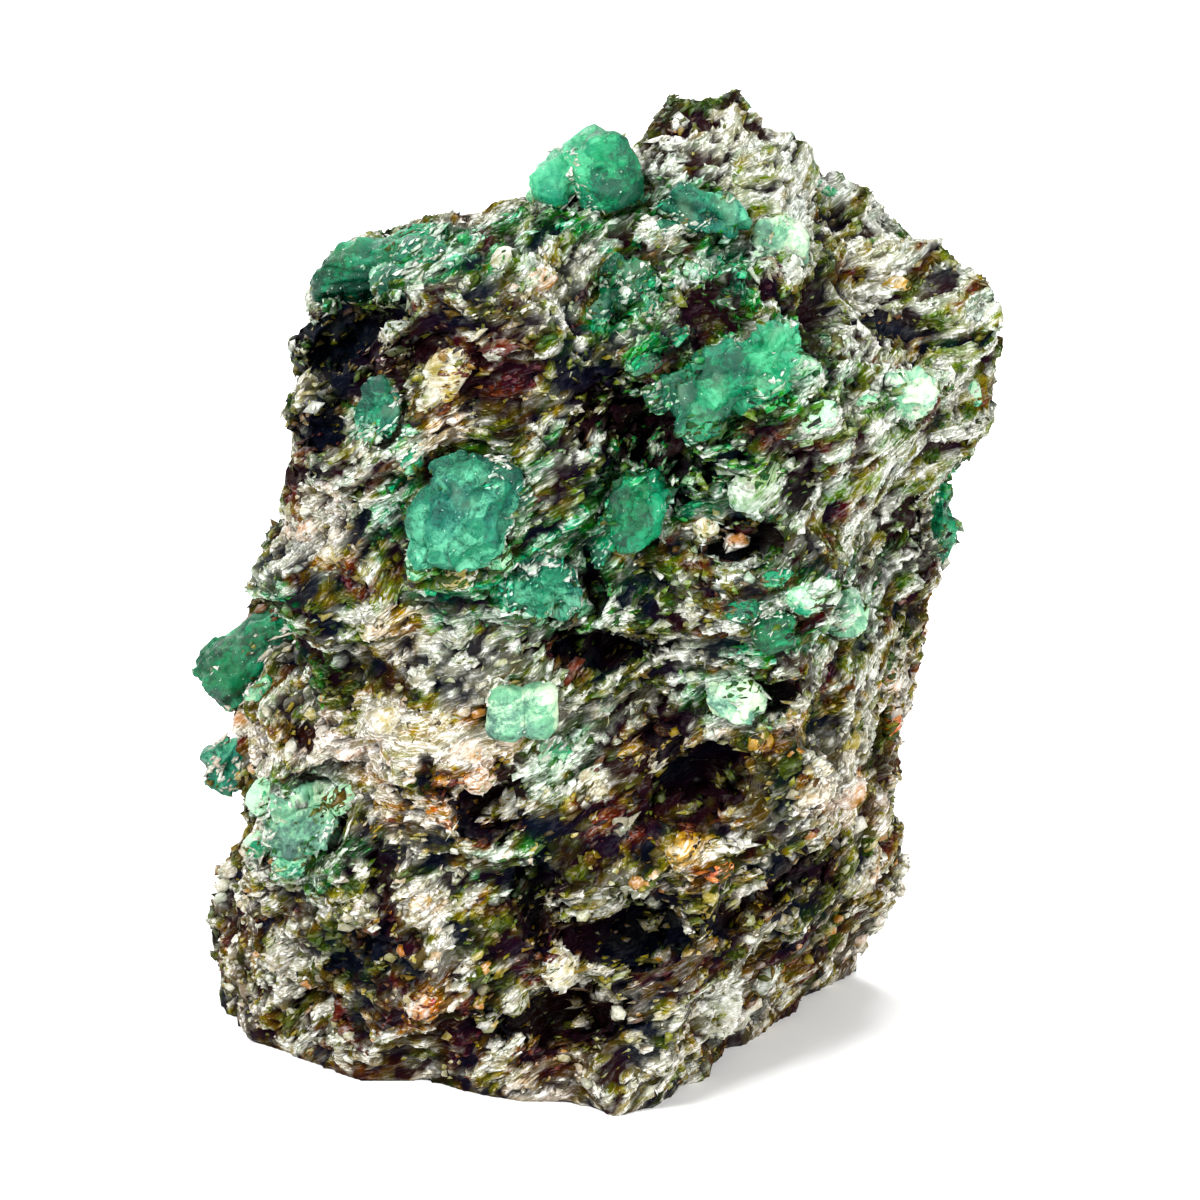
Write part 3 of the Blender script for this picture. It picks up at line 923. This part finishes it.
def cast_on(tree, side, across, up):
    """The place and facing where a side's board sees the rock at this place, or a little nearer to its middle."""
    right, high, outward = board(side)
    for share in (1.0, 0.96, 0.92, 0.88, 0.84):
        start = MIDDLE + (right * across + high * up) * share * MM + outward * 0.1
        place, facing, _, _ = tree.ray_cast(Vector(start), Vector(-outward))
        if place is not None:
            return np.array(place), np.array(facing)
    raise RuntimeError(f"nothing of the rock is seen from side {side} at {across}, {up}")


def shaped_lumps(rows, tree, random):
    """The lumps of these rows: the points of each, where they lie in its own crystal, and the faces of them all."""
    clear_choice()
    bpy.ops.mesh.primitive_ico_sphere_add(subdivisions=3, radius=1.0)
    pattern = bpy.context.object
    ball = mesh_points(pattern.data)
    faces = np.array([tuple(p.vertices) for p in pattern.data.polygons])
    bpy.data.objects.remove(pattern)
    points, places = [], []
    for number, (side, across, up, long, wide, turn, _) in enumerate(rows):
        place, _ = cast_on(tree, side, across, up)
        right, high, outward = board(side)
        angle = math.radians(turn)
        along = right * math.cos(angle) + high * math.sin(angle)
        axes = np.array((along, np.cross(outward, along), outward))
        shape = ball * (long, wide, 0.8 * wide)
        seen = (shape + 50.0 * number) * MM
        shape = shape * (1 + 0.22 * cloud(seen, 1.1) + 0.12 * cloud(seen, 0.45))[:, None]
        shape = cleaved(shape, np.array((0.0, 0.0, 1.0)), random, 9)
        shape = shape + 0.05 * ball * cloud(seen, 0.2)[:, None]
        here = place + (shape @ axes - outward * random.uniform(0.25, 0.5) * wide) * MM
        here[:, 2] = np.maximum(here[:, 2], 0.0)
        points.append(here)
        places.append(seen)
    every = faces[None] + len(ball) * np.arange(len(rows))[:, None, None]
    return points, places, every.reshape(-1, 3)


def make_lumps(settings):
    """The larger lumps bedded in the sheets and broken off at chance slants: feldspar and quartz, then beryl."""
    random = np.random.default_rng(31)
    tree = tree_of([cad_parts[ROCK]])
    stony = [row for row in LUMPS if row[-1] not in FRAGMENT_CLOUDS]
    points, places, faces = shaped_lumps(stony, tree, random)
    tones = []
    for row, here, seen in zip(stony, points, places):
        light = np.clip(0.8 + 0.9 * cloud(seen, 0.7, 8.0) + 0.5 * cloud(seen, 0.25, 3.0), 0.35, 1.15)
        tone = 0.3 * local_tones(here, 0.0, random) + 0.7 * np.array(TONES[row[-1]])
        tones.append(graded(tone * light[:, None]))
    points = np.concatenate(points)
    stone = triangles_piece("feldspar_lumps", points, faces)
    paint(stone.data, "tone", opaque(np.concatenate(tones)))
    paint(stone.data, "sheet", sheet_places(points))
    paint(stone.data, "gloss", np.full(len(points), 0.25))
    hand_over(stone, skin_material("feldspar lumps", 0.22, 0.3, 0.55, 0.6, 0.35))
    green = [row for row in LUMPS if row[-1] in FRAGMENT_CLOUDS]
    points, places, faces = shaped_lumps(green, tree, random)
    beryl = triangles_piece("beryl_lumps", np.concatenate(points), faces)
    seen = np.concatenate(places)
    paint(beryl.data, "local", seen)
    paint(beryl.data, "skin", np.clip(2.5 * (cloud(seen, 1.6, 9.0) - 0.3), 0, 0.8))
    paint(beryl.data, "pale", np.repeat([FRAGMENT_CLOUDS[row[-1]] for row in green], len(places[0])))
    pale = linear(0.62, 0.80, 0.64)
    hand_over(beryl, crystal_material("beryl fragments", settings.bright_green, pale, 0.28, 0.12, 0.2))
    for piece in (stone, beryl):
        piece.data.shade_smooth()
    return stone, beryl


# Each crystal: its frame node, its slot, how strongly it is grooved, how much schist clings to it, how many faces
# are broken on it, how far it is lifted out of its pocket (mm), the way on the front board to its cloudy end, and how cloudy
# its clear end and its cloudy end are.
CRYSTALS = (
    ("crown_emerald", "beryl_bright", 0.04, 0.00, 5, 0.0, 150, -0.6, 0.9),
    ("brow_emerald", "beryl_deep", 0.10, 0.06, 7, 0.8, 95, -0.7, 0.7),
    ("flank_emerald", "beryl_deep", 0.16, 0.08, 6, 0.2, 30, -0.2, 0.6),
    ("heart_emerald", "beryl_teal", 0.10, 0.05, 10, 0.2, -100, -0.3, 0.6),
    ("inner_emerald", "beryl_deep", 0.10, 0.25, 10, 0.3, -20, -0.5, 0.6),
    ("ledge_emerald", "beryl_teal", 0.12, 0.35, 12, 0.4, -60, -0.3, 0.5),
    ("twin_beryl", "beryl_pale", 0.03, 0.00, 0, 0.1, 10, -0.2, 0.8),
    ("east_emerald", "beryl_bright", 0.14, 0.35, 12, 0.4, 20, -0.7, 0.7),
    ("summit_emerald", "beryl_teal", 0.12, 0.35, 12, 0.5, 0, -0.4, 0.4),
    ("green_bead", "beryl_deep", 0.05, 0.08, 4, 0.2, 90, -0.5, 0.0),
    ("shelf_beryl", "beryl_pale", 0.10, 0.20, 8, 0.3, 30, -0.1, 0.6),
    ("mint_beryl", "beryl_pale", 0.10, 0.15, 8, 0.2, 90, 0.3, 0.9),
    ("flaky_beryl", "beryl_pale", 0.30, 0.25, 12, 0.3, 70, -0.4, 0.7),
    ("rim_emerald", "beryl_teal", 0.14, 0.25, 12, 0.2, 0, -0.2, 0.5),
    ("west_emerald", "beryl_teal", 0.14, 0.3, 12, 0.3, -90, -0.5, 0.3),
    ("upper_emerald", "beryl_deep", 0.12, 0.35, 12, 0.5, 90, -0.6, 0.2),
    ("shoulder_beryl", "beryl_pale", 0.12, 0.30, 10, 0.2, 0, 0.1, 0.6),
    ("slope_beryl", "beryl_pale", 0.12, 0.30, 10, 0.2, 0, 0.0, 0.5),
    ("right_emerald", "beryl_deep", 0.12, 0.25, 10, 0.2, 90, -0.3, 0.4),
    ("back_emerald", "beryl_bright", 0.12, 0.15, 8, 0.4, 60, -0.4, 0.6),
    ("back_low_emerald", "beryl_deep", 0.12, 0.15, 8, 0.3, 90, -0.4, 0.4),
    ("back_pale_beryl", "beryl_pale", 0.12, 0.25, 8, 0.3, -90, 0.0, 0.6),
    ("back_crest_emerald", "beryl_teal", 0.12, 0.20, 10, 0.3, 90, -0.4, 0.4),
    ("left_emerald", "beryl_teal", 0.12, 0.15, 8, 0.2, 90, -0.3, 0.5),
)


def own_axes(points):
    """The middle of a set of points and its three main directions, the longest first."""
    middle = points.mean(axis=0)
    _, _, axes = np.linalg.svd(points - middle, full_matrices=False)
    return middle, axes


def cleaved(points, outward, random, cuts):
    """The points with broken faces cut at chance slants through the side that looks out of the rock."""
    middle = points.mean(axis=0)
    for _ in range(cuts):
        way = unit((outward + 1.1 * random.normal(size=3))[None])[0]
        reach = (points - middle) @ way
        cut = reach.max() * random.uniform(0.68, 0.95)
        points = points - (np.maximum(reach - cut, 0) * 0.9)[:, None] * way
    return points


def make_crystal(settings, number, node, slot, grooves, clinging, cuts, lift, pale_way, clear_end, pale_end):
    """One crystal: its frame node grown to fill its pocket, grooved along its length, chipped and worn."""
    piece = copy_of(node, node + "_crystal", settings.crystal_detail)
    mesh = piece.data
    points, normals = mesh_points(mesh), mesh_normals(mesh)
    middle, axes = own_axes(points)
    local = (points - middle) @ axes.T
    seen = local + 37.0 * number * MM
    groove = sample(noise.noise, seen, np.array((4.0, 0.45, 0.45)) * MM)
    groove += 0.5 * sample(noise.noise, seen, np.array((2.5, 0.2, 0.2)) * MM)
    swell = cloud(seen, 2.6) + 0.5 * cloud(seen, 1.1, 31.0)
    outward = unit((middle - MIDDLE)[None])[0]
    points = cleaved(points, outward, np.random.default_rng(100 + number), cuts)
    steps, _ = blocks(seen / MM, (1.9, 1.2, 1.2), edge=0.1)
    height = settings.crystal_growth / MM + grooves * groove + (0.15 + 0.06 * cuts) * swell + 0.02 * cuts * steps
    skin = np.clip(2.5 * (cloud(seen, 1.6, 9.0) - 0.5 + clinging), 0, 1)
    points = points + normals * (height + 0.06 * skin)[:, None] * MM
    points = points + outward * lift * MM
    points[:, 2] = np.maximum(points[:, 2], 0.0)
    set_points(mesh, points)
    right, high, _ = board(0)
    along = points @ (right * math.cos(math.radians(pale_way)) + high * math.sin(math.radians(pale_way)))
    along = (along - along.min()) / np.ptp(along)
    paint(mesh, "local", seen)
    paint(mesh, "skin", skin * 0.8)
    paint(mesh, "pale", clear_end + (pale_end - clear_end) * along ** 1.5)
    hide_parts(node)
    return piece


# The grades of beryl: slot, name, setting of the body colour, colour of the clouds, roughness, clearness, shine.
GRADES = (
    ("beryl_bright", "bright emerald", "bright_green", linear(0.28, 0.68, 0.49), 0.16, 0.25, 0.12),
    ("beryl_deep", "deep emerald", "deep_green", linear(0.02, 0.54, 0.36), 0.18, 0.25, 0.10),
    ("beryl_teal", "teal emerald", "teal_green", linear(0.32, 0.64, 0.50), 0.30, 0.12, 0.12),
    ("beryl_pale", "pale beryl", "pale_green", linear(0.72, 0.82, 0.68), 0.34, 0.12, 0.20),
)


def make_crystals(settings):
    """Every beryl crystal of the specimen, each in the material of its grade."""
    grades = {
        slot: crystal_material(label, getattr(settings, deep), pale, rough, clear, shine)
        for slot, label, deep, pale, rough, clear, shine in GRADES
    }
    made = []
    for number, row in enumerate(CRYSTALS):
        piece = make_crystal(settings, number, *row)
        hand_over(piece, grades[row[1]])
        made.append(piece)
    return made


# ------------------------------------------------------------------ the stage

def aim(lamp, target):
    lamp.rotation_euler = (Vector(target) - lamp.location).to_track_quat("-Z", "Y").to_euler()


def add_lamp(name, place, size, power, target):
    clear_choice()
    bpy.ops.object.light_add(type="AREA", location=place)
    lamp = bpy.context.object
    lamp.name = name
    lamp.data.shape, lamp.data.size, lamp.data.energy = "SQUARE", size, power
    aim(lamp, target)
    return lamp


def make_stage(settings):
    """A pale floor, soft lamps and the camera."""
    clear_choice()
    bpy.ops.mesh.primitive_plane_add(size=6.0, location=(0, 0, 0))
    floor = bpy.context.object
    floor.name = "floor"
    made, shader, _ = new_material("floor paper")
    shader.inputs["Base Color"].default_value = (*settings.floor_colour, 1.0)
    shader.inputs["Roughness"].default_value = 0.9
    floor.data.materials.append(made)
    middle = tuple(MIDDLE)
    lamps = [
        add_lamp("key lamp", (-0.35, -0.50, 0.48), 0.28, settings.lamp_power, middle),
        add_lamp("fill lamp", (0.50, -0.45, 0.22), 0.40, settings.lamp_power * 0.7, middle),
        add_lamp("top lamp", (0.05, 0.25, 0.70), 0.35, settings.lamp_power * 0.5, middle),
        add_lamp("back lamp", (-0.30, 0.55, 0.35), 0.40, settings.lamp_power * 0.35, middle),
    ]
    world = bpy.context.scene.world or bpy.data.worlds.new("studio")
    bpy.context.scene.world = world
    world.use_nodes = True
    sky = world.node_tree.nodes["Background"]
    sky.inputs["Color"].default_value = (1.0, 1.0, 1.0, 1.0)
    sky.inputs["Strength"].default_value = settings.sky_strength
    _, _, outward = board(0)
    clear_choice()
    bpy.ops.object.camera_add(
        location=tuple(MIDDLE + outward * settings.camera_distance), rotation=(math.pi / 2 - VIEW_LEAN, 0, 0))
    camera = bpy.context.object
    camera.name = "camera"
    camera.data.sensor_width = 36.0
    camera.data.lens = settings.camera_distance / settings.camera_span * 36.0
    camera.data.clip_start = 0.01
    bpy.context.scene.camera = camera
    bpy.context.scene.view_settings.view_transform = "Standard"


# ------------------------------------------------------------------ settings, operators and panel

class SpecimenSettings(bpy.types.PropertyGroup):
    rock_detail: bpy.props.FloatProperty(
        name="Rock detail", description="Spacing of the rock's mesh", default=0.49 * MM, unit="LENGTH")
    rock_relief: bpy.props.FloatProperty(
        name="Rock relief", description="How strongly the broken blocks stand out", default=1.0)
    flake_count: bpy.props.IntProperty(
        name="Flakes", description="How many mica flakes are scattered before hidden ones are left out", default=130000)
    crevice_rarity: bpy.props.FloatProperty(
        name="Crevice rarity", description="How far the rock's unevenness must dip to open a crevice", default=0.23)
    cling_count: bpy.props.IntProperty(
        name="Clinging flakes", description="How many flakes are tried on the crystals", default=30000)
    flakes_a_piece: bpy.props.IntProperty(
        name="Flakes a piece", description="The most flakes joined in one piece", default=20000)
    flake_length: bpy.props.FloatProperty(
        name="Flake length", description="Usual length of a flake", default=0.95 * MM, unit="LENGTH")
    grain_count: bpy.props.IntProperty(
        name="Grains", description="How many feldspar grains there are", default=1200)
    grain_size: bpy.props.FloatProperty(
        name="Grain size", description="Usual width of a grain", default=0.95 * MM, unit="LENGTH")
    crystal_detail: bpy.props.FloatProperty(
        name="Crystal detail", description="Spacing of the crystals' meshes", default=0.2 * MM, unit="LENGTH")
    crystal_growth: bpy.props.FloatProperty(
        name="Crystal growth", description="How far a crystal grows into its pocket", default=0.2 * MM, unit="LENGTH")
    bright_green: bpy.props.FloatVectorProperty(
        name="Bright green", description="Body colour of the bright emeralds", default=linear(0.0, 0.52, 0.32),
        subtype="COLOR", size=3)
    deep_green: bpy.props.FloatVectorProperty(
        name="Deep green", description="Body colour of the deep emeralds", default=linear(0.0, 0.40, 0.22),
        subtype="COLOR", size=3)
    teal_green: bpy.props.FloatVectorProperty(
        name="Teal green", description="Body colour of the cloudy emeralds", default=linear(0.04, 0.42, 0.29),
        subtype="COLOR", size=3)
    pale_green: bpy.props.FloatVectorProperty(
        name="Pale green", description="Body colour of the pale beryls", default=linear(0.38, 0.62, 0.47),
        subtype="COLOR", size=3)
    floor_colour: bpy.props.FloatVectorProperty(
        name="Floor", description="Colour of the floor", default=(0.9, 0.9, 0.9), subtype="COLOR", size=3)
    lamp_power: bpy.props.FloatProperty(
        name="Lamp power", description="Power of the main lamp in watts", default=9.0, unit="POWER")
    sky_strength: bpy.props.FloatProperty(
        name="Sky strength", description="Brightness of the white surroundings", default=0.60)
    camera_distance: bpy.props.FloatProperty(
        name="Camera distance", description="From the rock's middle to the camera", default=0.8, unit="LENGTH")
    camera_span: bpy.props.FloatProperty(
        name="Camera span", description="Width that the picture covers at the rock", default=0.0918, unit="LENGTH")


def settings_of(context):
    return context.scene.specimen


def needed(*names):
    """The objects with these names, which an earlier step has made."""
    for name in names:
        if name not in bpy.data.objects:
            raise RuntimeError(f"{name} is missing: run the step that makes it first")
    return [bpy.data.objects[name] for name in names]


def crystal_pieces():
    return needed("feldspar_lumps", "beryl_lumps", *[row[0] + "_crystal" for row in CRYSTALS])


def crystal_tree():
    return tree_of(crystal_pieces())


class SPECIMEN_OT_rock(bpy.types.Operator):
    """Builds the broken schist around the frame's matrix"""
    bl_idname = "specimen.rock"
    bl_label = "Rock"

    def execute(self, context):
        make_rock(settings_of(context), crystal_tree())
        return {"FINISHED"}


class SPECIMEN_OT_crystals(bpy.types.Operator):
    """Builds every beryl crystal"""
    bl_idname = "specimen.crystals"
    bl_label = "Crystals"

    def execute(self, context):
        make_crystals(settings_of(context))
        return {"FINISHED"}


class SPECIMEN_OT_flakes(bpy.types.Operator):
    """Scatters the mica flakes over the rock"""
    bl_idname = "specimen.flakes"
    bl_label = "Mica flakes"

    def execute(self, context):
        make_flakes(settings_of(context), *needed("rock"), crystal_tree(), crystal_pieces())
        return {"FINISHED"}


class SPECIMEN_OT_grains(bpy.types.Operator):
    """Sets the feldspar grains into the rock"""
    bl_idname = "specimen.grains"
    bl_label = "Feldspar grains"

    def execute(self, context):
        make_grains(settings_of(context), *needed("rock"), crystal_tree())
        return {"FINISHED"}


class SPECIMEN_OT_lumps(bpy.types.Operator):
    """Sets the larger lumps of feldspar, quartz and pale beryl into the rock"""
    bl_idname = "specimen.lumps"
    bl_label = "Feldspar lumps"

    def execute(self, context):
        make_lumps(settings_of(context))
        return {"FINISHED"}


class SPECIMEN_OT_stage(bpy.types.Operator):
    """Sets out the floor, the lamps and the camera"""
    bl_idname = "specimen.stage"
    bl_label = "Stage"

    def execute(self, context):
        make_stage(settings_of(context))
        return {"FINISHED"}


STEPS = (
    SPECIMEN_OT_crystals, SPECIMEN_OT_lumps, SPECIMEN_OT_rock, SPECIMEN_OT_flakes, SPECIMEN_OT_grains, SPECIMEN_OT_stage,
)


class SPECIMEN_PT_panel(bpy.types.Panel):
    bl_label = "Emerald in Matrix"
    bl_idname = "SPECIMEN_PT_panel"
    bl_space_type = "VIEW_3D"
    bl_region_type = "UI"
    bl_category = "Specimen"

    def draw(self, context):
        for step in STEPS:
            self.layout.operator(step.bl_idname)
        for name in SpecimenSettings.__annotations__:
            self.layout.prop(settings_of(context), name)


CLASSES = (SpecimenSettings, *STEPS, SPECIMEN_PT_panel)


def register():
    for kind in CLASSES:
        bpy.utils.register_class(kind)
    bpy.types.Scene.specimen = bpy.props.PointerProperty(type=SpecimenSettings)


def unregister():
    del bpy.types.Scene.specimen
    for kind in reversed(CLASSES):
        bpy.utils.unregister_class(kind)


def main():
    register()
    bpy.ops.specimen.crystals()
    bpy.ops.specimen.lumps()
    bpy.ops.specimen.rock()
    bpy.ops.specimen.flakes()
    bpy.ops.specimen.grains()
    bpy.ops.specimen.stage()


if __name__ == "__main__":
    main()
